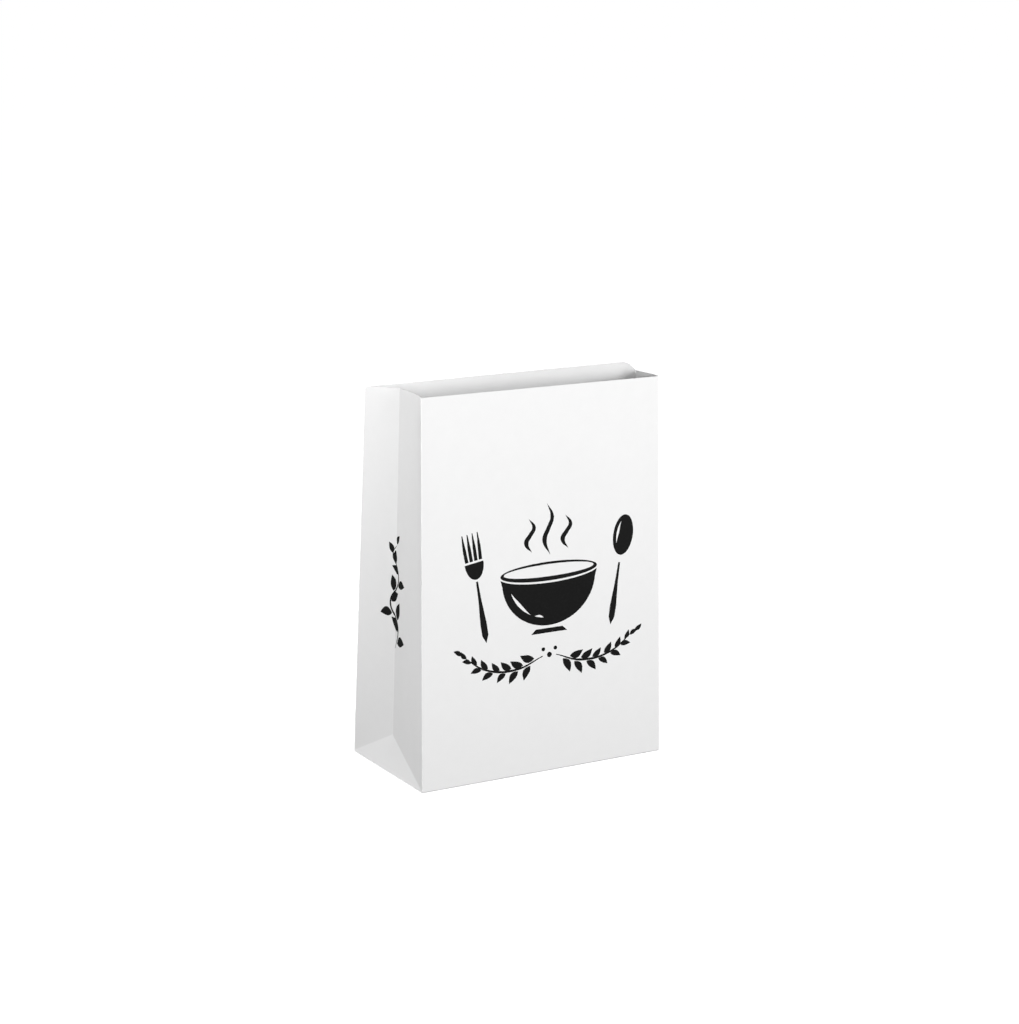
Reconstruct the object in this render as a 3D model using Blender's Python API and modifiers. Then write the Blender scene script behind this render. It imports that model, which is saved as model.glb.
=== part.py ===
# A square bottom paper bag, standing open: one folded sheet with a flat base and side
# gussets. Metres, +Z up. The origin is the middle of the base, and the front faces -Y.
import bmesh
import bpy
from mathutils import Vector

# The base and the wall
WIDTH = 0.200
DEPTH = 0.110
HEIGHT = 0.284
WALL = 0.0005  # about four times the real sheet, so that the wall is a solid that can be handled

# The mouth, where the front and back panels lean in over the base. It is a little narrower
# than the base at the front, and spread wider at the back, where the rim isn't quite level.
LEFT, RIGHT = -1, 1
FRONT, BACK = -1, 1
LEAN = {
    (LEFT, FRONT): 0.005,
    (RIGHT, FRONT): 0.003,
    (LEFT, BACK): 0.035,
    (RIGHT, BACK): 0.060,
}
SPREAD = {
    (LEFT, FRONT): -0.004,
    (RIGHT, FRONT): -0.0031,
    (LEFT, BACK): 0.0045,
    (RIGHT, BACK): 0.0072,
}
RISE = {
    (LEFT, FRONT): 0.0,
    (RIGHT, FRONT): -0.0007,
    (LEFT, BACK): -0.002,
    (RIGHT, BACK): 0.003,
}

# The gussets: a fold down each, pressed in at the mouth, and a triangular tuck at the foot
FOLD_IN = {LEFT: 0.0105, RIGHT: 0.0087}
FOLD_SHARE = {LEFT: 0.39, RIGHT: 0.447}  # where the fold stands, from the back corner on
TUCK_IN = 0.0085
TUCK_BACK = {LEFT: 0.0076, RIGHT: 0.0}
TUCK_RISE = 0.0246
BELLY_SHARE = 27 / 4  # makes the belly curve 1 high at its peak
BELLY = {  # how far each half of a gusset swells out at the mouth, or in where it is negative
    (LEFT, FRONT): -0.0020,
    (RIGHT, FRONT): 0.0015,
    (LEFT, BACK): 0.0,
    (RIGHT, BACK): 0.0020,
}

# How finely the panels are divided
PANEL_COLUMNS = 8
GUSSET_COLUMNS = 6
BASE_ROWS = 4
ROWS = 10
MERGE = 0.00001

PAPER = {"colour": (0.90, 0.90, 0.90, 1.0), "roughness": 0.75, "metallic": 0.0}


def clear_scene():
    for item in list(bpy.data.objects):
        bpy.data.objects.remove(item, do_unlink=True)


def base_corner(side, face):
    return Vector((side * WIDTH / 2, face * DEPTH / 2, 0))


def mouth_corner(side, face):
    x = side * (WIDTH / 2 + SPREAD[side, face])
    y = face * (DEPTH / 2 - LEAN[side, face])
    return Vector((x, y, HEIGHT + RISE[side, face]))


def tuck_tip(side):
    return Vector((side * (WIDTH / 2 - TUCK_IN), TUCK_BACK[side], TUCK_RISE))


def mouth_fold(side):
    pressed = mouth_corner(side, BACK).lerp(mouth_corner(side, FRONT), FOLD_SHARE[side])
    pressed.x -= side * FOLD_IN[side]
    pressed.z = HEIGHT
    return pressed


def swell(across):
    """A belly 1 high, a third of the way across, that dies out flat at the far side."""
    return BELLY_SHARE * across * (1 - across) ** 2


def add_panel(bm, low, high, columns, rows, belly=0.0, belly_side=LEFT):
    """One panel between a lower and an upper edge, each given left to right from outside."""
    outward = (low[1] - low[0]).cross(high[0] - low[0]).normalized()
    grid = bmesh.ops.create_grid(bm, x_segments=columns, y_segments=rows, size=0.5)
    for vert in grid["verts"]:
        across, up = vert.co.x + 0.5, vert.co.y + 0.5
        below = low[0].lerp(low[1], across)
        above = high[0].lerp(high[1], across)
        from_corner = across if belly_side == LEFT else 1 - across
        vert.co = below.lerp(above, up) + outward * swell(from_corner) * up * belly


def add_wide_panel(bm, face):
    left, right = (LEFT, RIGHT) if face == FRONT else (RIGHT, LEFT)
    low = base_corner(left, face), base_corner(right, face)
    high = mouth_corner(left, face), mouth_corner(right, face)
    add_panel(bm, low, high, PANEL_COLUMNS, ROWS)


def add_gusset(bm, side):
    """Two halves that meet at the centre fold and stand on the tuck's sloping edges."""
    tip, fold = tuck_tip(side), mouth_fold(side)
    first, second = (BACK, FRONT) if side == LEFT else (FRONT, BACK)
    low, high = (base_corner(side, first), tip), (mouth_corner(side, first), fold)
    add_panel(bm, low, high, GUSSET_COLUMNS, ROWS, BELLY[side, first], LEFT)
    low, high = (tip, base_corner(side, second)), (fold, mouth_corner(side, second))
    add_panel(bm, low, high, GUSSET_COLUMNS, ROWS, BELLY[side, second], RIGHT)


def add_base(bm):
    low = base_corner(LEFT, BACK), base_corner(RIGHT, BACK)
    high = base_corner(LEFT, FRONT), base_corner(RIGHT, FRONT)
    add_panel(bm, low, high, PANEL_COLUMNS, BASE_ROWS)


def fill_tucks(bm):
    """The triangles left open between the base and the two gussets."""
    highest = TUCK_RISE + MERGE
    edges = [e for e in bm.edges if e.is_boundary and all(v.co.z <= highest for v in e.verts)]
    bmesh.ops.holes_fill(bm, edges=edges, sides=0)


def paper_material():
    material = bpy.data.materials.new("white_kraft_paper")
    material.use_nodes = True
    shader = material.node_tree.nodes["Principled BSDF"]
    shader.inputs["Base Color"].default_value = PAPER["colour"]
    shader.inputs["Roughness"].default_value = PAPER["roughness"]
    shader.inputs["Metallic"].default_value = PAPER["metallic"]
    return material


def make_bag(collection):
    bm = bmesh.new()
    for face in (FRONT, BACK):
        add_wide_panel(bm, face)
    for side in (LEFT, RIGHT):
        add_gusset(bm, side)
    add_base(bm)
    bmesh.ops.remove_doubles(bm, verts=bm.verts, dist=MERGE)
    fill_tucks(bm)
    bmesh.ops.recalc_face_normals(bm, faces=bm.faces)
    mesh = bpy.data.meshes.new("paper_bag")
    bm.to_mesh(mesh)
    bm.free()
    mesh.materials.append(paper_material())
    bag = bpy.data.objects.new("paper_bag", mesh)
    collection.objects.link(bag)
    wall = bag.modifiers.new("Wall", "SOLIDIFY")
    wall.thickness = WALL
    wall.offset = -1  # the sheet's outer face stays at the stated sizes
    wall.use_even_offset = True
    wall.use_quality_normals = True
    return bag


def main():
    clear_scene()
    collection = bpy.data.collections.new("Square bottom paper bag")
    bpy.context.scene.collection.children.link(collection)
    make_bag(collection)


main()
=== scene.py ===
# A white takeaway bag with a square bottom and side gussets, standing open and printed in black.
# Metres, +Z up. The bag stands on its base round the origin, and its front faces -Y.
import math
from functools import partial

import bmesh
import bpy
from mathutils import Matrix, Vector
from mathutils.bvhtree import BVHTree


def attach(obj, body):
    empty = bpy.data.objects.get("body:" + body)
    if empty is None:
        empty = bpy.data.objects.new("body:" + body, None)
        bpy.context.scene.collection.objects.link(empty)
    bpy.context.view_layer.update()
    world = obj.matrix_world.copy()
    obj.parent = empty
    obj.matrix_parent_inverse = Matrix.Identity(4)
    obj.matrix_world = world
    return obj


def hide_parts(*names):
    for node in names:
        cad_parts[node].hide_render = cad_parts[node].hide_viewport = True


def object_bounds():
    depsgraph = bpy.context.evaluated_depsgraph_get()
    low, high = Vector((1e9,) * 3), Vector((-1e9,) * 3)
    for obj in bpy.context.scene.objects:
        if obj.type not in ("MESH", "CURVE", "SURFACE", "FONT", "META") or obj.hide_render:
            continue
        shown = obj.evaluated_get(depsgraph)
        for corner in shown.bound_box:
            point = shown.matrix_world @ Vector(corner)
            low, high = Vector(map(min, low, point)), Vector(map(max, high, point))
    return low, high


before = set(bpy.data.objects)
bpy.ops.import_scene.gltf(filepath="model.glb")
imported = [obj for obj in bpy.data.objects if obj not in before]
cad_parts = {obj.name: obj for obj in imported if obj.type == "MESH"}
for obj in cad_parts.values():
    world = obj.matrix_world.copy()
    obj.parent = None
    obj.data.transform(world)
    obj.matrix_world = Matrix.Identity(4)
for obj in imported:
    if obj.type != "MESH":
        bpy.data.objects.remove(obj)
cadLow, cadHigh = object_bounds()
print("frame loaded, box", [round(value, 4) for value in (*cadLow, *cadHigh)])

mm = 0.001
left, right = -1, 1
front, back = -1, 1


# One node with its settings. Values and links go to its inputs, in order or by name or number.
def addNode(tree, kind, inputs=(), **settings):
    node = tree.nodes.new(kind)
    for name, value in settings.items():
        setattr(node, name, value)
    named = inputs if isinstance(inputs, dict) else dict(enumerate(inputs))
    for key, value in named.items():
        if isinstance(value, bpy.types.Node):
            value = value.outputs[0]
        if isinstance(value, bpy.types.NodeSocket):
            tree.links.new(value, node.inputs[key])
        else:
            node.inputs[key].default_value = value
    return node


# An sRGB hex colour as the linear values that shaders work in.
def linearColour(hexColour):
    channels = [int(hexColour[start:start + 2], 16) / 255 for start in (1, 3, 5)]
    linear = [c / 12.92 if c <= 0.04045 else ((c + 0.055) / 1.055) ** 2.4 for c in channels]
    return (*linear, 1.0)


def newTree(name, sockets):
    tree = bpy.data.node_groups.new(name, "GeometryNodeTree")
    tree.interface.new_socket("Geometry", in_out="INPUT", socket_type="NodeSocketGeometry")
    for socketName, kind in sockets.items():
        tree.interface.new_socket(socketName, in_out="INPUT", socket_type="NodeSocket" + kind)
    tree.interface.new_socket("Geometry", in_out="OUTPUT", socket_type="NodeSocketGeometry")
    return tree, addNode(tree, "NodeGroupInput")


# Every tree ends in real faces that carry their material.
def endTree(tree, start, geometry):
    real = addNode(tree, "GeometryNodeRealizeInstances", {"Geometry": geometry})
    finish = {"Geometry": real, "Material": start.outputs["Material"]}
    finished = addNode(tree, "GeometryNodeSetMaterial", finish)
    addNode(tree, "NodeGroupOutput", {"Geometry": finished})


# Runs a tree on some data with named inputs, and gives back the plain mesh.
def runTree(tree, data, inputs):
    carrier = bpy.data.objects.new("carrier", data)
    bpy.context.scene.collection.objects.link(carrier)
    modifier = carrier.modifiers.new("Rule", "NODES")
    modifier.node_group = tree
    sockets = {item.name: item for item in tree.interface.items_tree if item.in_out == "INPUT"}
    for name, value in inputs.items():
        modifier[sockets[name].identifier] = value
    graph = bpy.context.evaluated_depsgraph_get()
    mesh = bpy.data.meshes.new_from_object(carrier.evaluated_get(graph), depsgraph=graph)
    carrier.modifiers.remove(modifier)
    bpy.data.objects.remove(carrier)
    return mesh


# Puts a finished mesh into the scene as a piece of the bag.
def makePiece(name, bm, material):
    mesh = bpy.data.meshes.new(name)
    bm.to_mesh(mesh)
    bm.free()
    mesh.materials.clear()
    mesh.materials.append(material)
    piece = bpy.data.objects.new(name, mesh)
    bpy.context.scene.collection.objects.link(piece)
    return piece


# Bleached kraft, machine glazed: a clean white sheet whose long fibres give the eye a faint
# cloudiness, and a dry eggshell sheen. A paler line along each fold is a painted highlight.
paperLook = {
    "sheet": "#efefef",
    "cloud": "#ebebeb",
    # the colour of the painted highlight along the folds
    "paintedFoldHighlight": "#f7f7f7",
    "cloudSize": 9 * mm,
    "fibreSize": 1.1 * mm,  # real fibres are about 0.03 mm wide, drawn coarser so that they show
    "fibreStretch": (1.0, 1.0, 0.45),  # most of them lie up the sheet
    "roughness": (0.56, 0.68),
    "ior": 1.5,
    "specular": 0.35,
    "fibreDepth": 0.02 * mm,
    "cockleSize": 26 * mm,  # the slow unevenness of a sheet that dried a little unevenly
    "cockleDepth": 0.10 * mm,
}


def bleachedKraft():
    look = paperLook
    material = bpy.data.materials.new("bleached kraft paper")
    material.use_nodes = True
    tree = material.node_tree
    shader = tree.nodes["Principled BSDF"]
    place = addNode(tree, "ShaderNodeTexCoord").outputs["Object"]
    cloud = addNode(tree, "ShaderNodeTexNoise", {
        "Vector": place, "Scale": 1 / look["cloudSize"], "Detail": 4.0, "Roughness": 0.6})
    grain = addNode(tree, "ShaderNodeMapping", {
        "Vector": place, "Scale": look["fibreStretch"]})
    fibres = addNode(tree, "ShaderNodeTexNoise", {
        "Vector": grain, "Scale": 1 / look["fibreSize"], "Detail": 3.0, "Roughness": 0.65,
        "Distortion": 0.8})
    cockle = addNode(tree, "ShaderNodeTexNoise", {
        "Vector": place, "Scale": 1 / look["cockleSize"], "Detail": 2.0})
    tone = addNode(tree, "ShaderNodeMix", {
        0: cloud, 6: linearColour(look["sheet"]), 7: linearColour(look["cloud"])}, data_type="RGBA")
    # Painted highlight: the sheet's colour turns paler along the folds that this mask marks
    foldHighlightMask = addNode(tree, "ShaderNodeAttribute", attribute_name="paintedFoldHighlight")
    colour = addNode(tree, "ShaderNodeMix", {
        0: foldHighlightMask.outputs["Fac"], 6: tone.outputs[2], 7: linearColour(look["paintedFoldHighlight"])},
        data_type="RGBA")
    tree.links.new(colour.outputs[2], shader.inputs["Base Color"])
    coarse = addNode(tree, "ShaderNodeBump", {
        "Height": cockle, "Distance": look["cockleDepth"], "Strength": 1.0})
    fine = addNode(tree, "ShaderNodeBump", {
        "Height": fibres, "Distance": look["fibreDepth"], "Strength": 1.0, "Normal": coarse})
    tree.links.new(fine.outputs[0], shader.inputs["Normal"])
    gloss = addNode(tree, "ShaderNodeMapRange", {
        "Value": fibres, "To Min": look["roughness"][0], "To Max": look["roughness"][1]})
    tree.links.new(gloss.outputs[0], shader.inputs["Roughness"])
    shader.inputs["IOR"].default_value = look["ior"]
    shader.inputs["Specular IOR Level"].default_value = look["specular"]
    return material


# Water based flexo ink, one pass of black: it soaks in and dries dead matt, and the paper's
# fibres leave it a little uneven, so that the eye reads soft charcoal rather than gloss black.
inkLook = {
    "solid": "#0f0f0f",
    "thin": "#181818",
    "mottleSize": 1.6 * mm,
    "mottleRange": (0.45, 0.75),
    "roughness": (0.62, 0.82),
    "ior": 1.45,
    "specular": 0.15,
    "fibreDepth": 0.015 * mm,
}


def flexoInk():
    look = inkLook
    material = bpy.data.materials.new("black flexo ink")
    material.use_nodes = True
    tree = material.node_tree
    shader = tree.nodes["Principled BSDF"]
    place = addNode(tree, "ShaderNodeTexCoord").outputs["Object"]
    mottle = addNode(tree, "ShaderNodeTexNoise", {
        "Vector": place, "Scale": 1 / look["mottleSize"], "Detail": 4.0, "Roughness": 0.7})
    patch = addNode(tree, "ShaderNodeMapRange", {
        "Value": mottle, "From Min": look["mottleRange"][0], "From Max": look["mottleRange"][1]})
    colour = addNode(tree, "ShaderNodeMix", {
        0: patch, 6: linearColour(look["solid"]), 7: linearColour(look["thin"])},
        data_type="RGBA")
    tree.links.new(colour.outputs[2], shader.inputs["Base Color"])
    bump = addNode(tree, "ShaderNodeBump", {
        "Height": mottle, "Distance": look["fibreDepth"], "Strength": 1.0})
    tree.links.new(bump.outputs[0], shader.inputs["Normal"])
    gloss = addNode(tree, "ShaderNodeMapRange", {
        "Value": mottle, "To Min": look["roughness"][0], "To Max": look["roughness"][1]})
    tree.links.new(gloss.outputs[0], shader.inputs["Roughness"])
    shader.inputs["IOR"].default_value = look["ior"]
    shader.inputs["Specular IOR Level"].default_value = look["specular"]
    return material


paper = bleachedKraft()
ink = flexoInk()
print("materials ready")


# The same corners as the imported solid, with finer panels between them.
bag = {
    "width": 200 * mm,
    "depth": round(cadHigh.y - cadLow.y, 4),
    "height": 284 * mm,
    "lift": 0.5 * mm,  # the glued flaps under the base
    "lean": {  # how far each mouth corner stands in over the base
        (left, front): 5 * mm,
        (right, front): 3 * mm,
        (left, back): 35 * mm,
        (right, back): 60 * mm,
    },
    "spread": {  # how much wider than the base, or narrower where negative
        (left, front): -4 * mm,
        (right, front): -3.1 * mm,
        (left, back): 4.5 * mm,
        (right, back): 7.2 * mm,
    },
    "rise": {  # how much higher than the height
        (left, front): 0,
        (right, front): -0.7 * mm,
        (left, back): -2 * mm,
        (right, back): 3 * mm,
    },
    "foldIn": {left: 10.5 * mm, right: 8.7 * mm},  # how far the mouth presses the gusset in
    "foldShare": {left: 0.39, right: 0.447},  # where the fold stands, from the back corner on
    "tuckIn": 8.5 * mm,  # the tip of the triangle at the gusset's foot
    "tuckBack": {left: 7.6 * mm, right: 0},
    "tuckRise": 24.6 * mm,
    "belly": {  # how far each gusset half swells at the mouth, or sinks where negative
        (left, front): -2 * mm,
        (right, front): 1.5 * mm,
        (left, back): 0,
        (right, back): 2.0 * mm,
    },
    "hang": 7.5 * mm,  # how far the back rim hangs where it curls over at the right end
    "hangReach": 7 * mm,
    "hangDepth": 28 * mm,
    "cell": 4 * mm,
    "leastCells": 4,
    "foldMargin": 1.2 * mm,  # the first cell beside a fold, which keeps the fold crisp
    "foldRadius": 0.15 * mm,
    "foldSteps": 3,
    "roundOver": math.radians(40),  # shallower folds stay knife sharp
    "crispFrom": math.radians(50),  # corners sharper than this aren't shaded smooth
    "sheet": 0.25 * mm,  # about twice the real sheet, so that the rim shows
    "waveHeight": 0.5 * mm,
    "gussetWave": 0.3 * mm,
    "waveSize": 70 * mm,
    "creaseDepth": 0.25 * mm,  # where the base was folded flat against the back
    "creaseReach": 7 * mm,
    "merge": 0.01 * mm,
}


def baseCorner(side, face):
    return Vector((side * bag["width"] / 2, face * bag["depth"] / 2, bag["lift"]))


def mouthCorner(side, face):
    x = side * (bag["width"] / 2 + bag["spread"][side, face])
    y = face * (bag["depth"] / 2 - bag["lean"][side, face])
    return Vector((x, y, bag["height"] + bag["rise"][side, face]))


def rimHeight(face, x):
    first, last = mouthCorner(left, face), mouthCorner(right, face)
    return first.lerp(last, (x - first.x) / (last.x - first.x)).z


def tuckTip(side):
    x = side * (bag["width"] / 2 - bag["tuckIn"])
    return Vector((x, bag["tuckBack"][side], bag["tuckRise"]))


def mouthFold(side):
    pressed = mouthCorner(side, back).lerp(mouthCorner(side, front), bag["foldShare"][side])
    pressed.x -= side * bag["foldIn"][side]
    pressed.z = bag["height"]
    return pressed


panelCurve = {
    "bellyPeak": 27 / 4,  # makes the belly 1 high at its peak, a third of the way across
    "wavePeak": 32,  # makes the waves full height in the middle of the panel
}


# One panel between four corners: cells of even size, with a narrow one along each fold, a
# belly that peaks a third of the way across, and slow waves that die out at the folds. A line
# of it can be creased, and its rim can hang at one place.
def panelTree():
    tree, start = newTree("paper panel", {
        "Low Start": "Vector", "Low End": "Vector", "High Start": "Vector", "High End": "Vector",
        "Columns": "Int", "Rows": "Int", "Column Stretch": "Float", "Row Stretch": "Float",
        "Belly": "Float", "Wave Height": "Float", "Wave Size": "Float",
        "Crease Rise": "Float", "Crease Depth": "Float", "Crease Reach": "Float",
        "Hang At": "Float", "Hang Width": "Float", "Hang Depth": "Float", "Hang": "Float",
        "Material": "Material"})
    given = start.outputs
    add = partial(addNode, tree)

    # A unit grid, and how far across and up each of its points is
    acrossLines = add("ShaderNodeMath", (given["Columns"], 1.0), operation="ADD")
    upLines = add("ShaderNodeMath", (given["Rows"], 1.0), operation="ADD")
    grid = add("GeometryNodeMeshGrid", {
        "Size X": 1.0, "Size Y": 1.0, "Vertices X": acrossLines, "Vertices Y": upLines})
    split = add("ShaderNodeSeparateXYZ", [add("GeometryNodeInputPosition")])
    across = add("ShaderNodeMath", (split.outputs[0], given["Column Stretch"], 0.5),
                 operation="MULTIPLY_ADD", use_clamp=True)
    up = add("ShaderNodeMath", (split.outputs[1], given["Row Stretch"], 0.5),
             operation="MULTIPLY_ADD", use_clamp=True)
    notAcross = add("ShaderNodeMath", (1.0, across), operation="SUBTRACT")
    notUp = add("ShaderNodeMath", (1.0, up), operation="SUBTRACT")

    # The flat panel between the corners, and the way that it faces
    low = add("ShaderNodeMix", {0: across, 4: given["Low Start"], 5: given["Low End"]},
              data_type="VECTOR")
    high = add("ShaderNodeMix", {0: across, 4: given["High Start"], 5: given["High End"]},
               data_type="VECTOR")
    between = add("ShaderNodeMix", {0: up, 4: low.outputs[1], 5: high.outputs[1]},
                  data_type="VECTOR")
    flat = between.outputs[1]
    alongLow = add("ShaderNodeVectorMath", (given["Low End"], given["Low Start"]),
                   operation="SUBTRACT")
    alongSide = add("ShaderNodeVectorMath", (given["High Start"], given["Low Start"]),
                    operation="SUBTRACT")
    facing = add("ShaderNodeVectorMath", (alongLow, alongSide), operation="CROSS_PRODUCT")
    outward = add("ShaderNodeVectorMath", [facing], operation="NORMALIZE")

    # The belly
    inner = add("ShaderNodeMath", (across, notAcross), operation="MULTIPLY")
    peak = add("ShaderNodeMath", (notAcross, panelCurve["bellyPeak"]), operation="MULTIPLY")
    hump = add("ShaderNodeMath", (inner, peak), operation="MULTIPLY")
    risen = add("ShaderNodeMath", (hump, up), operation="MULTIPLY")
    belly = add("ShaderNodeMath", (risen, given["Belly"]), operation="MULTIPLY")

    # The waves
    upright = add("ShaderNodeMath", (up, notUp), operation="MULTIPLY")
    pillow = add("ShaderNodeMath", (inner, upright), operation="MULTIPLY")
    full = add("ShaderNodeMath", (pillow, panelCurve["wavePeak"]), operation="MULTIPLY")
    fineness = add("ShaderNodeMath", (1.0, given["Wave Size"]), operation="DIVIDE")
    noise = add("ShaderNodeTexNoise", {"Vector": flat, "Scale": fineness, "Detail": 1.0})
    evened = add("ShaderNodeMath", (noise, 0.5), operation="SUBTRACT")
    ripple = add("ShaderNodeMath", (evened, full), operation="MULTIPLY")
    wave = add("ShaderNodeMath", (ripple, given["Wave Height"]), operation="MULTIPLY")

    # The crease, and all of it along the way that the panel faces
    height = add("ShaderNodeSeparateXYZ", [flat]).outputs[2]
    offCrease = add("ShaderNodeMath", (height, given["Crease Rise"]), operation="SUBTRACT")
    fromCrease = add("ShaderNodeMath", [offCrease], operation="ABSOLUTE")
    creaseShare = add("ShaderNodeMath", (fromCrease, given["Crease Reach"]), operation="DIVIDE")
    near = add("ShaderNodeMath", (1.0, creaseShare), operation="SUBTRACT", use_clamp=True)
    dip = add("ShaderNodeMath", (near, given["Crease Depth"]), operation="MULTIPLY")

    swell = add("ShaderNodeMath", (belly, wave), operation="ADD")
    push = add("ShaderNodeMath", (swell, dip), operation="SUBTRACT")
    pushed = add("ShaderNodeVectorMath", {0: outward, "Scale": push}, operation="SCALE")
    bent = add("ShaderNodeVectorMath", (flat, pushed), operation="ADD")

    # The hanging rim
    offHang = add("ShaderNodeMath", (across, given["Hang At"]), operation="SUBTRACT")
    fromHang = add("ShaderNodeMath", [offHang], operation="ABSOLUTE")
    hangShare = add("ShaderNodeMath", (fromHang, given["Hang Width"]), operation="DIVIDE")
    beside = add("ShaderNodeMath", (1.0, hangShare), operation="SUBTRACT", use_clamp=True)
    depthShare = add("ShaderNodeMath", (notUp, given["Hang Depth"]), operation="DIVIDE")
    above = add("ShaderNodeMath", (1.0, depthShare), operation="SUBTRACT", use_clamp=True)
    within = add("ShaderNodeMath", (beside, above), operation="MULTIPLY")
    down = add("ShaderNodeMath", (given["Hang"], -1.0), operation="MULTIPLY")
    hang = add("ShaderNodeMath", (within, down), operation="MULTIPLY")
    lowered = add("ShaderNodeCombineXYZ", {"Z": hang})
    moved = add("GeometryNodeSetPosition", {"Geometry": grid, "Position": bent, "Offset": lowered})
    endTree(tree, start, moved)
    return tree


panelRule = panelTree()


def cellCount(length):
    return max(bag["leastCells"], round(length / bag["cell"]))


# How much the inner lines of a unit grid spread so that the outermost cells are a margin wide.
def marginStretch(length, cells):
    return (0.5 - bag["foldMargin"] / length) / (0.5 - 1 / cells)


# The counts depend only on the panel's nominal sizes, so neighbours share their edge points.
def makePanel(low, high, acrossSize, upSize, extra=()):
    columns, rows = cellCount(acrossSize), cellCount(upSize)
    inputs = {
        "Low Start": low[0], "Low End": low[1], "High Start": high[0], "High End": high[1],
        "Columns": columns, "Rows": rows,
        "Column Stretch": marginStretch(acrossSize, columns),
        "Row Stretch": marginStretch(upSize, rows),
        "Belly": 0.0, "Wave Height": 0.0, "Wave Size": bag["waveSize"],
        "Crease Rise": bag["tuckRise"], "Crease Depth": 0.0, "Crease Reach": bag["creaseReach"],
        "Hang At": 0.0, "Hang Width": 1.0, "Hang Depth": bag["hangDepth"] / upSize, "Hang": 0.0,
        "Material": paper}
    inputs.update(extra)
    return runTree(panelRule, bpy.data.meshes.new("panel"), inputs)


def widePanel(face):
    low = baseCorner(left, face), baseCorner(right, face)
    high = mouthCorner(left, face), mouthCorner(right, face)
    atBack = float(face == back)
    return makePanel(low, high, bag["width"], bag["height"], {
        "Wave Height": bag["waveHeight"], "Crease Depth": -bag["creaseDepth"] * atBack,
        "Hang At": 1.0, "Hang Width": bag["hangReach"] / bag["width"],
        "Hang": bag["hang"] * atBack})


def gussetHalf(side, face):
    low = baseCorner(side, face), tuckTip(side)
    high = mouthCorner(side, face), mouthFold(side)
    outward = -side * face  # the panel rule's own direction, in for two of the halves
    hangs = float(side == right and face == back)
    return makePanel(low, high, bag["depth"] / 2, bag["height"], {
        "Belly": outward * bag["belly"][side, face], "Wave Height": bag["gussetWave"],
        "Hang": bag["hang"] * hangs})


def basePanel():
    low = baseCorner(left, back), baseCorner(right, back)
    high = baseCorner(left, front), baseCorner(right, front)
    return makePanel(low, high, bag["width"], bag["depth"])


# The two triangles between the base and the gussets, left open by the panels.
def fillTucks(bm):
    highest = bag["tuckRise"] + bag["merge"]
    edges = [e for e in bm.edges if e.is_boundary and all(v.co.z <= highest for v in e.verts)]
    filled = bmesh.ops.holes_fill(bm, edges=edges, sides=0)
    return filled["faces"]


def bagSheet():
    panels = [widePanel(front), widePanel(back), basePanel()]
    panels += [gussetHalf(side, face) for side in (left, right) for face in (front, back)]
    bm = bmesh.new()
    bm.faces.layers.int.new("panel")
    for number, mesh in enumerate(panels):
        known = set(bm.faces)
        bm.from_mesh(mesh)
        panelNumber = bm.faces.layers.int["panel"]
        for face in set(bm.faces) - known:
            face[panelNumber] = number
    bmesh.ops.remove_doubles(bm, verts=bm.verts, dist=bag["merge"])
    for number, face in enumerate(fillTucks(bm)):
        face[panelNumber] = len(panels) + number
    bmesh.ops.recalc_face_normals(bm, faces=bm.faces)
    paintedFoldHighlight = bm.verts.layers.float.new("paintedFoldHighlight")
    bevel = bm.edges.layers.float.new("bevel_weight_edge")
    for edge in bm.edges:
        faces = edge.link_faces
        if len(faces) == 2 and faces[0][panelNumber] != faces[1][panelNumber]:
            edge[bevel] = float(edge.calc_face_angle() > bag["roundOver"])
            # The points along a fold get the painted highlight in the paper's colour
            for vert in edge.verts:
                vert[paintedFoldHighlight] = 1.0
    piece = makePiece("bagSheet", bm, paper)
    rounded = piece.modifiers.new("Fold radius", "BEVEL")
    rounded.limit_method = "WEIGHT"
    rounded.width = bag["foldRadius"]
    rounded.segments = bag["foldSteps"]
    rounded.use_clamp_overlap = False
    wall = piece.modifiers.new("Sheet", "SOLIDIFY")
    wall.thickness = bag["sheet"]
    wall.offset = -1
    wall.use_even_offset = True
    wall.use_quality_normals = True
    return applyModifiers(piece)


# Turns a piece's modifiers into real faces: smooth over bends, crisp at the cut edges.
def applyModifiers(piece):
    graph = bpy.context.evaluated_depsgraph_get()
    mesh = bpy.data.meshes.new_from_object(piece.evaluated_get(graph), depsgraph=graph)
    piece.modifiers.clear()
    piece.data = mesh
    mesh.shade_smooth()
    mesh.set_sharp_from_angle(angle=bag["crispFrom"])
    return piece


sheet = bagSheet()
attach(sheet, "root")
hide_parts("paper_bag")
print("sheet folded:", len(sheet.data.polygons), "faces")

surfaceMesh = bmesh.new()
surfaceMesh.from_mesh(sheet.data)
surface = BVHTree.FromBMesh(surfaceMesh)
surfaceMesh.free()


flaps = {
    "layer": 0.12 * mm,
    "gap": 0.03 * mm,
    "seamFromMiddle": 88 * mm,  # the lap seam stands near one side of the back, clear of the print
    "seamWidth": 13 * mm,
    "seamBelowRim": 0.02 * mm,
    "seamColumns": 5,
    "seamRows": 60,
    "overlap": 12 * mm,  # how far each base flap reaches past the middle
    "endFoldTip": 0.4 * mm,  # the width of the tip where the triangle is cut off
}


# A thin closed layer from flat panels, with its thickness towards or away from the sheet.
def layerPiece(name, meshes):
    bm = bmesh.new()
    for mesh in meshes:
        bm.from_mesh(mesh)
    piece = makePiece(name, bm, paper)
    wall = piece.modifiers.new("Layer", "SOLIDIFY")
    wall.thickness = flaps["layer"]
    wall.offset = 0
    applyModifiers(piece)
    bm = bmesh.new()
    bm.from_mesh(piece.data)
    bmesh.ops.recalc_face_normals(bm, faces=bm.faces)
    bm.to_mesh(piece.data)
    bm.free()
    piece.data.shade_flat()
    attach(piece, "root")


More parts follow.
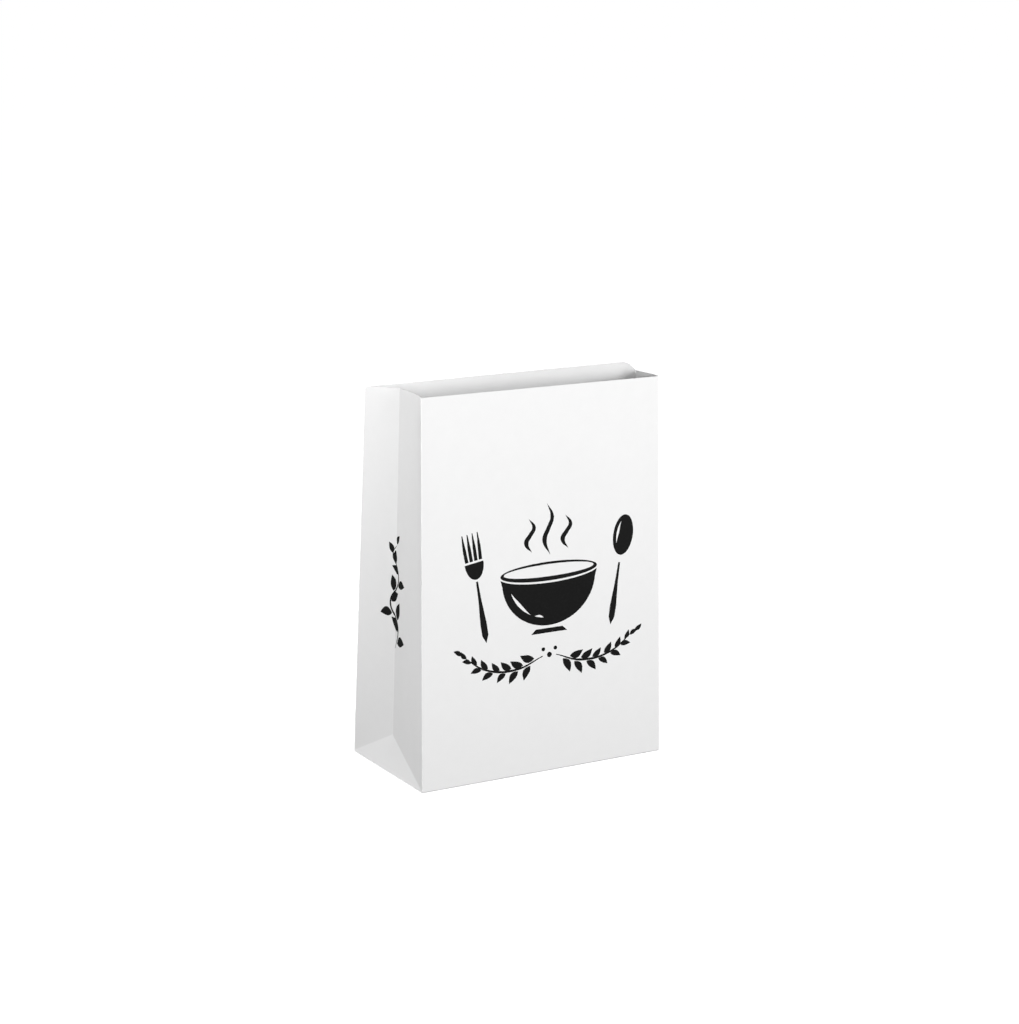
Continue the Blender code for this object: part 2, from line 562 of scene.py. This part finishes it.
# One flap of the base as seen from below: its hinge along a bottom fold, its sides mitred.
def baseFlap(face, reach, level):
    width, depth = bag["width"], bag["depth"]
    hinge = [Vector((side * width / 2, face * depth / 2, level)) for side in (left, right)]
    free = [Vector((side * (width / 2 - reach), face * (depth / 2 - reach), level))
            for side in (left, right)]
    return makePanel(hinge, free, width, reach)


# The corner of the side gusset folded flat: a triangle on the bottom's end fold.
def endFold(side, level):
    x = side * bag["width"] / 2
    depth = bag["depth"]
    hinge = [Vector((x, face * depth / 2, level)) for face in (front, back)]
    tip = [Vector((x - side * depth / 2, face * flaps["endFoldTip"] / 2, level))
           for face in (front, back)]
    return makePanel(hinge, tip, depth, depth / 2)


layerStep = flaps["layer"] + flaps["gap"]
flapReach = bag["depth"] / 2 + flaps["overlap"]
lowest = flaps["gap"] + flaps["layer"] / 2
insideFloor = bag["lift"] + bag["sheet"] + lowest
layerPiece("baseFrontFlap", [baseFlap(front, flapReach, lowest)])
layerPiece("baseBackFlap", [baseFlap(back, flapReach, lowest + layerStep)])
layerPiece("baseEndFolds", [endFold(side, lowest + 2 * layerStep) for side in (left, right)])
layerPiece("insideEndFolds", [endFold(side, insideFloor) for side in (left, right)])
print("base flaps glued")


wrap = {
    "proud": 0.03 * mm,
    "thickness": 0.05 * mm,  # of the ink
    "wideCell": 5 * mm,  # how finely a print is cut so that it follows the paper
    "gussetCell": 2 * mm,
    "snap": 0.001 * mm,  # a cut this close to a point goes through it
    "join": 0.002 * mm,
}


def creaseLine(side, height):
    share = (height - bag["tuckRise"]) / (bag["height"] - bag["tuckRise"])
    return tuckTip(side).lerp(mouthFold(side), share).y


# Where a flat point lands: across runs to the viewer's right and up from the ground.
def landing(panel, across, up):
    if panel in ("front", "back"):
        face = front if panel == "front" else back
        return Vector((-face * across, face * bag["width"], up)), Vector((0, -face, 0))
    side = left if panel == "left" else right
    y = creaseLine(side, up) + side * across
    return Vector((side * bag["width"], y, up)), Vector((-side, 0, 0))


# Moves the points of a flat shape onto the outside of the sheet, a hair proud of it.
def layOnPaper(bm, panel, proud):
    for vert in bm.verts:
        start, direction = landing(panel, vert.co.x, vert.co.y)
        hit = surface.ray_cast(start, direction)[0]
        vert.co = hit - direction * proud(vert.co)


# Cuts flat faces along a square grid. A line runs through zero, where a gusset is creased.
def cutToGrid(bm, cell):
    bmesh.ops.triangulate(bm, faces=bm.faces)
    for axis in (0, 1):
        places = [vert.co[axis] for vert in bm.verts]
        first, last = math.ceil(min(places) / cell), math.floor(max(places) / cell)
        for line in range(first, last + 1):
            point, normal = Vector((0, 0, 0)), Vector((0, 0, 0))
            point[axis], normal[axis] = line * cell, 1
            bmesh.ops.bisect_plane(bm, geom=bm.verts[:] + bm.edges[:] + bm.faces[:],
                                   plane_co=point, plane_no=normal, dist=wrap["snap"])


# Turns a laid shape into a thin closed piece, outside face first.
def thicken(name, bm, panel, thickness, material):
    bmesh.ops.remove_doubles(bm, verts=bm.verts, dist=wrap["join"])
    bm.normal_update()
    outward = -landing(panel, 0, bag["height"] / 2)[1]
    turned = [face for face in bm.faces if face.normal.dot(outward) < 0]
    bmesh.ops.reverse_faces(bm, faces=turned)
    piece = makePiece(name, bm, material)
    wall = piece.modifiers.new("Thickness", "SOLIDIFY")
    wall.thickness = thickness
    wall.offset = -1
    applyModifiers(piece)
    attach(piece, "root")
    return piece


# The lap where the two ends of the sheet are glued, running up the back.
def lapSeam():
    bm = bmesh.new()
    cells = flaps["seamColumns"]
    bmesh.ops.create_grid(bm, x_segments=cells, y_segments=flaps["seamRows"], size=0.5)
    bottom = bag["lift"] + 2 * bag["foldRadius"]
    for vert in bm.verts:
        vert.co.x = flaps["seamFromMiddle"] + vert.co.x * flaps["seamWidth"]
        top = rimHeight(back, -vert.co.x) - flaps["seamBelowRim"]
        vert.co.y = bottom + (vert.co.y + 0.5) * (top - bottom)
    hiddenEdge = flaps["seamFromMiddle"] + flaps["seamWidth"] * (0.5 - 0.5 / cells)
    layOnPaper(bm, "back", lambda point: flaps["layer"] if point.x < hiddenEdge else -flaps["gap"])
    thicken("lapSeam", bm, "back", flaps["layer"], paper)


lapSeam()
print("seam glued")


brush = {"steps": 40, "curveSteps": 16}  # along a stroke, and between two of its points


# A stroke of the brush: a flat ribbon along each curve, as wide as the curve's own radius says.
def strokeTree():
    tree, start = newTree("brush stroke", {"Steps": "Int", "Material": "Material"})
    even = addNode(tree, "GeometryNodeResampleCurve", {
        "Curve": start.outputs["Geometry"], "Count": start.outputs["Steps"]})
    nib = addNode(tree, "GeometryNodeCurvePrimitiveLine", {
        "Start": (-0.5, 0, 0), "End": (0.5, 0, 0)})
    width = addNode(tree, "GeometryNodeInputRadius")
    ribbon = addNode(tree, "GeometryNodeCurveToMesh", {
        "Curve": even, "Profile Curve": nib, "Scale": width})
    endTree(tree, start, ribbon)
    return tree


leafShape = {
    "points": 26,
    "smallest": 0.92,
    "largest": 1.08,
    "closing": 5.0,  # how late the leaves turn in towards the stem's tip
    "slim": -0.3,  # how much narrower a leaf is towards its tip
    "curl": -0.35,
}


# Leaves along a stem, turn about on its two sides, smaller and closer to it towards the tip.
def leafTree():
    tree, start = newTree("leaves on a stem", {
        "Bare Stem": "Float", "Leaves": "Int", "Leaf Length": "Float", "Leaf Width": "Float",
        "Tip Scale": "Float", "Leaf Angle": "Float", "Stem Gap": "Float", "Seed": "Int",
        "Material": "Material"})
    given = start.outputs
    add = partial(addNode, tree)

    # Where the leaves stand, and how far along the stem each is
    leafy = add("GeometryNodeTrimCurve", {"Curve": given["Geometry"], "Start": given["Bare Stem"]})
    nodes = add("GeometryNodeCurveToPoints", {"Curve": leafy, "Count": given["Leaves"]})
    number = add("GeometryNodeInputIndex")
    lastNumber = add("ShaderNodeMath", (given["Leaves"], 1.0), operation="SUBTRACT")
    along = add("ShaderNodeMath", (number, lastNumber), operation="DIVIDE")
    odd = add("ShaderNodeMath", (number, 2.0), operation="MODULO")
    side = add("ShaderNodeMath", (odd, 2.0, -1.0), operation="MULTIPLY_ADD")

    # Which way each points
    heading = add("ShaderNodeSeparateXYZ", [nodes.outputs["Tangent"]])
    stemAngle = add("ShaderNodeMath", (heading.outputs[1], heading.outputs[0]),
                    operation="ARCTAN2")
    closing = add("ShaderNodeMath", (along, leafShape["closing"]), operation="POWER")
    opening = add("ShaderNodeMath", (1.0, closing), operation="SUBTRACT")
    opened = add("ShaderNodeMath", (opening, given["Leaf Angle"]), operation="MULTIPLY")
    leafAngle = add("ShaderNodeMath", (opened, side), operation="MULTIPLY")
    heads = add("ShaderNodeMath", (stemAngle, leafAngle), operation="ADD")
    turn = add("ShaderNodeCombineXYZ", {2: heads})

    # How long it is
    chance = add("FunctionNodeRandomValue", {
        2: leafShape["smallest"], 3: leafShape["largest"], "Seed": given["Seed"]})
    taper = add("ShaderNodeMix", {0: along, 2: 1.0, 3: given["Tip Scale"]})
    varied = add("ShaderNodeMath", (taper, chance.outputs[1]), operation="MULTIPLY")
    long = add("ShaderNodeMath", (varied, given["Leaf Length"]), operation="MULTIPLY")
    flipped = add("ShaderNodeMath", (long, side), operation="MULTIPLY")
    size = add("ShaderNodeCombineXYZ", (long, flipped, long))

    # One leaf, from a disc: pointed at both ends, fullest near the stem, and a little curled
    disc = add("GeometryNodeMeshCircle", {"Vertices": leafShape["points"], "Radius": 1.0},
               fill_type="NGON")
    circle = add("ShaderNodeSeparateXYZ", [add("GeometryNodeInputPosition")])
    x, y = circle.outputs[0], circle.outputs[1]
    share = add("ShaderNodeMath", (x, 0.5, 0.5), operation="MULTIPLY_ADD")
    notShare = add("ShaderNodeMath", (1.0, share), operation="SUBTRACT")
    leafPart = add("ShaderNodeMath", (1.0, given["Stem Gap"]), operation="SUBTRACT")
    reachOut = add("ShaderNodeMath", (share, leafPart, given["Stem Gap"]),
                   operation="MULTIPLY_ADD")
    halfWidth = add("ShaderNodeMath", [y], operation="ABSOLUTE")
    squared = add("ShaderNodeMath", (y, halfWidth), operation="MULTIPLY")
    pointed = add("ShaderNodeMath", (squared, given["Leaf Width"]), operation="MULTIPLY")
    slimming = add("ShaderNodeMath", (x, leafShape["slim"], 1.0), operation="MULTIPLY_ADD")
    full = add("ShaderNodeMath", (pointed, slimming), operation="MULTIPLY")
    bow = add("ShaderNodeMath", (share, notShare), operation="MULTIPLY")
    curl = add("ShaderNodeMath", (bow, leafShape["curl"]), operation="MULTIPLY")
    curled = add("ShaderNodeMath", (full, curl), operation="ADD")
    shaped = add("ShaderNodeCombineXYZ", (reachOut, curled))
    leaf = add("GeometryNodeSetPosition", {"Geometry": disc, "Position": shaped})
    leaves = add("GeometryNodeInstanceOnPoints", {
        "Points": nodes, "Instance": leaf, "Rotation": turn, "Scale": size})
    endTree(tree, start, leaves)
    return tree


strokeRule = strokeTree()
leafRule = leafTree()


# A smooth path through a few points, given as (across, up, width) in millimetres.
def pathData(paths):
    data = bpy.data.curves.new("path", "CURVE")
    data.dimensions = "3D"
    data.resolution_u = brush["curveSteps"]
    for path in paths:
        spline = data.splines.new("BEZIER")
        spline.bezier_points.add(len(path) - 1)
        for knot, (across, up, width) in zip(spline.bezier_points, path):
            knot.co = (across * mm, up * mm, 0)
            knot.radius = width * mm
            knot.handle_left_type = knot.handle_right_type = "AUTO"
    return data


def strokes(paths):
    return runTree(strokeRule, pathData(paths), {"Steps": brush["steps"], "Material": ink})


# Filled outlines; one inside another is a hole.
def fills(outlines):
    data = bpy.data.curves.new("outline", "CURVE")
    data.dimensions = "2D"
    data.fill_mode = "BOTH"
    for outline in outlines:
        spline = data.splines.new("POLY")
        spline.points.add(len(outline) - 1)
        for knot, (across, up) in zip(spline.points, outline):
            knot.co = (across * mm, up * mm, 0, 1)
        spline.use_cyclic_u = True
    carrier = bpy.data.objects.new("carrier", data)
    bpy.context.scene.collection.objects.link(carrier)
    graph = bpy.context.evaluated_depsgraph_get()
    mesh = bpy.data.meshes.new_from_object(carrier.evaluated_get(graph), depsgraph=graph)
    bpy.data.objects.remove(carrier)
    return mesh


def arc(centre, radii, start=0, end=360, count=48):
    points = []
    closed = abs(end - start) == 360
    for number in range(count if closed else count + 1):
        angle = math.radians(start + (end - start) * number / count)
        points.append((centre[0] + radii[0] * math.cos(angle),
                       centre[1] + radii[1] * math.sin(angle)))
    return points


# A long thin crescent between two arcs of one circle family, for a highlight.
def crescent(centre, radii, thickness, start, end, count=20):
    outer = arc(centre, radii, start, end, count)
    inner = []
    for number in range(count - 1, 0, -1):
        share = number / count
        angle = math.radians(start + (end - start) * share)
        thin = thickness * math.sin(math.pi * share)
        inner.append((centre[0] + (radii[0] - thin) * math.cos(angle),
                      centre[1] + (radii[1] - thin) * math.sin(angle)))
    return outer + inner


# A stem drawn as one stroke, and the leaves along it.
def leafyStem(stem, leaves):
    return [strokes([stem]), runTree(leafRule, pathData([stem]), {**leaves, "Material": ink})]


emblem = {  # millimetres round the middle of the print
    "ringAt": (0, 12),
    "ring": (40, 7.0),
    "ringHoleAt": (0, 12.7),
    "ringHole": (37.2, 4.5),
    "bowlAt": (0, 7),
    "bowl": (38.5, 35),
    "bowlArc": (-5, -175),
    "lipArc": (196, 344),
    "gap": 1.5,
    "glints": (((32.5, 29), 2.4, 195, 242), ((32.5, 29), 1.6, 248, 262)),  # size, width, arc
    "footWidths": (11, 15),
    "footHeight": (-33.5, -30),
    "steam": ((-15, 27, 52), (0, 24, 62), (15, 27, 52)),  # where, from, to
    "steamCurve": ((1, 0, 0), (-3.6, 0.3, 3.8), (-0.2, 0.52, 3.2), (2.8, 0.72, 3.0), (-1.4, 1, 0)),
    "cutleryAt": (58, 6),
    "cutleryTilt": 9,
    "tines": (-6, -2, 2, 6),
    "tine": ((0.92, 20.8, 2.7), (1, 30, 2.5), (1.03, 41, 0.7)),  # spread, up, width
    "handle": ((0, 5.5, 1.6), (0, -8, 2.4), (0, -27, 5.2), (0, -35, 5.0), (0, -41, 0)),
    "forkHead": ((0, 19.3), (7.6, 12.2), 180, 360, 24),
    "spoon": ((0, 26), (8.4, 15)),
    "spoonGlint": ((0, 26), (5.6, 11.6), 1.9, 120, 215),
    "berries": ((0, -50, 2.0), (-5, -45.5, 1.5), (5, -45.5, 1.5)),
    "berryPoints": 20,
    "sprig": ((5.5, -50.5, 0.6), (27, -57.5, 1.7), (52, -54.5, 1.5), (71, -42, 0.4)),
    "sprigLeaves": {
        "Bare Stem": 0.07, "Leaves": 14, "Leaf Length": 14 * mm, "Leaf Width": 0.19,
        "Tip Scale": 0.62, "Leaf Angle": math.radians(40), "Stem Gap": 0.17, "Seed": 3,
    },
}


# Puts the points of a fork or spoon at its side of the bowl, leaning out.
def tilted(points, side):
    angle = math.radians(-side * emblem["cutleryTilt"])
    placed = []
    for x, y, *width in points:
        across = x * math.cos(angle) - y * math.sin(angle) + side * emblem["cutleryAt"][0]
        up = x * math.sin(angle) + y * math.cos(angle) + emblem["cutleryAt"][1]
        placed.append((across, up, *width))
    return placed


def steamPaths():
    return [[(x + sway, low + (high - low) * share, width)
             for sway, share, width in emblem["steamCurve"]]
            for x, low, high in emblem["steam"]]


def cutleryPaths():
    paths = [tilted([(x * spread, up, width) for spread, up, width in emblem["tine"]], left)
             for x in emblem["tines"]]
    return paths + [tilted(emblem["handle"], side) for side in (left, right)]


def bowlOutlines():
    ring, gap = emblem["ring"], emblem["gap"]
    outlines = [arc(emblem["ringAt"], ring), arc(emblem["ringHoleAt"], emblem["ringHole"])]
    lip = arc(emblem["ringAt"], (ring[0] + gap, ring[1] + gap), *emblem["lipArc"], 30)
    hollow = arc(emblem["bowlAt"], emblem["bowl"], *emblem["bowlArc"])
    outlines.append(lip + hollow)
    outlines += [crescent(emblem["bowlAt"], *glint) for glint in emblem["glints"]]
    top, foot = emblem["footWidths"]
    low, high = emblem["footHeight"]
    outlines.append([(-top, high), (-foot, low), (foot, low), (top, high)])
    return outlines


def cutleryOutlines():
    spoon = [arc(*emblem["spoon"]), crescent(*emblem["spoonGlint"])]
    return [tilted(arc(*emblem["forkHead"]), left)] + [tilted(shape, right) for shape in spoon]


def emblemShapes():
    outlines = bowlOutlines() + cutleryOutlines()
    outlines += [arc((x, y), (size, size), count=emblem["berryPoints"])
                 for x, y, size in emblem["berries"]]
    shapes = [strokes(steamPaths() + cutleryPaths()), fills(outlines)]
    for side in (left, right):
        stem = [(side * x, y, width) for x, y, width in emblem["sprig"]]
        shapes += leafyStem(stem, emblem["sprigLeaves"])
    return shapes


vine = {
    "stem": ((2, -41, 0.3), (7, -26, 1.5), (-5, -8, 1.5),
             (6, 12, 1.4), (-3, 30, 1.0), (1, 36, 0.3)),
    "leaves": {
        "Bare Stem": 0.05, "Leaves": 11, "Leaf Length": 16 * mm, "Leaf Width": 0.24,
        "Tip Scale": 0.6, "Leaf Angle": math.radians(52), "Stem Gap": 0.12, "Seed": 8,
    },
}


def printOn(name, panel, shapes, middle, cell):
    bm = bmesh.new()
    for mesh in shapes:
        bm.from_mesh(mesh)
    for vert in bm.verts:
        vert.co.x += middle[0]
        vert.co.y += middle[1]
    cutToGrid(bm, cell)
    layOnPaper(bm, panel, lambda point: wrap["proud"])
    thicken(name, bm, panel, wrap["thickness"], ink)


prints = {  # the middle of each print: across the panel, and up from the ground
    "frontPrint": {"panel": "front", "middle": (5 * mm, 137.5 * mm)},
    "backPrint": {"panel": "back", "middle": (0, 137.5 * mm)},
    "leftGussetPrint": {"panel": "left", "middle": (0, 133 * mm)},
    "rightGussetPrint": {"panel": "right", "middle": (0, 133 * mm)},
}
emblemMeshes = emblemShapes()
vineMeshes = leafyStem(vine["stem"], vine["leaves"])
for name, place in prints.items():
    wide = place["panel"] in ("front", "back")
    shapes = emblemMeshes if wide else vineMeshes
    cell = wrap["wideCell"] if wide else wrap["gussetCell"]
    printOn(name, place["panel"], shapes, place["middle"], cell)
print("printed")


camera = {
    "aim": Vector((2.2 * mm, 0, 182.7 * mm)),
    "azimuth": 29.39,
    "elevation": 12.87,
    "distance": 1869.7 * mm,
    "lens": 89.85,
}


def makeCamera():
    azimuth, elevation = (math.radians(camera[key]) for key in ("azimuth", "elevation"))
    away = Vector((-math.sin(azimuth) * math.cos(elevation),
                   -math.cos(azimuth) * math.cos(elevation), math.sin(elevation)))
    data = bpy.data.cameras.new("camera")
    data.lens = camera["lens"]
    data.clip_end = 100
    eye = bpy.data.objects.new("camera", data)
    eye.location = camera["aim"] + away * camera["distance"]
    eye.rotation_euler = away.to_track_quat("Z", "Y").to_euler()
    bpy.context.scene.collection.objects.link(eye)
    bpy.context.scene.camera = eye


makeCamera()

lights = {  # soft boxes turned to the middle of the bag
    "front": {"size": 0.3, "power": 4.9, "at": (0, -1.2, 0.46)},
    "frontLeft": {"size": 0.3, "power": 5.2, "at": (-0.6, -1.04, 0.5)},
    "frontRight": {"size": 0.5, "power": 9.0, "at": (0.87, -1.09, 0.88)},
    "right": {"size": 0.6, "power": 13, "at": (1.38, -0.24, 0.35)},
    "left": {"size": 0.25, "power": 1.8, "at": (-0.65, 0.06, 0.15)},
    "leftRim": {"size": 0.1, "power": 0.043, "at": (-0.217, -0.038, 0.32)},
    "behind": {"size": 0.8, "power": 15, "at": (0, 1.8, 0.6)},
}
stage = {
    "size": 30,
    "level": -0.3 * mm,
    "colour": "#f2f2f2",
    "roughness": 0.9,
    "glow": 0.93,
    "ambient": 0.08,
}


def makeLights():
    for name, light in lights.items():
        data = bpy.data.lights.new(name, "AREA")
        data.size = light["size"]
        data.energy = light["power"]
        lamp = bpy.data.objects.new(name, data)
        lamp.location = light["at"]
        toBag = Vector((0, 0, bag["height"] / 2)) - lamp.location
        lamp.rotation_euler = toBag.to_track_quat("-Z", "Y").to_euler()
        bpy.context.scene.collection.objects.link(lamp)


# A matt white sweep that glows a little, so that it stays even from edge to edge.
def makeFloor():
    bm = bmesh.new()
    bmesh.ops.create_grid(bm, x_segments=1, y_segments=1, size=stage["size"])
    for vert in bm.verts:
        vert.co.z = stage["level"]
    mesh = bpy.data.meshes.new("floor")
    bm.to_mesh(mesh)
    bm.free()
    material = bpy.data.materials.new("matt white sweep")
    material.use_nodes = True
    shader = material.node_tree.nodes["Principled BSDF"]
    shader.inputs["Base Color"].default_value = linearColour(stage["colour"])
    shader.inputs["Roughness"].default_value = stage["roughness"]
    shader.inputs["Emission Color"].default_value = (1, 1, 1, 1)
    shader.inputs["Emission Strength"].default_value = stage["glow"]
    mesh.materials.append(material)
    floor = bpy.data.objects.new("floor", mesh)
    floor.visible_diffuse = False
    floor.visible_glossy = False
    bpy.context.scene.collection.objects.link(floor)


# The backdrop is plain white to look at, and a dim even light on the bag.
def makeWorld():
    world = bpy.data.worlds.new("studio")
    bpy.context.scene.world = world
    world.use_nodes = True
    tree = world.node_tree
    seen = addNode(tree, "ShaderNodeLightPath").outputs["Is Camera Ray"]
    strength = addNode(tree, "ShaderNodeMix", {0: seen, 2: stage["ambient"], 3: 1.0})
    background = tree.nodes["Background"]
    background.inputs["Color"].default_value = (1, 1, 1, 1)
    tree.links.new(strength.outputs[0], background.inputs["Strength"])


makeLights()
makeFloor()
makeWorld()
bpy.context.scene.view_settings.view_transform = "Standard"
print("stage set")
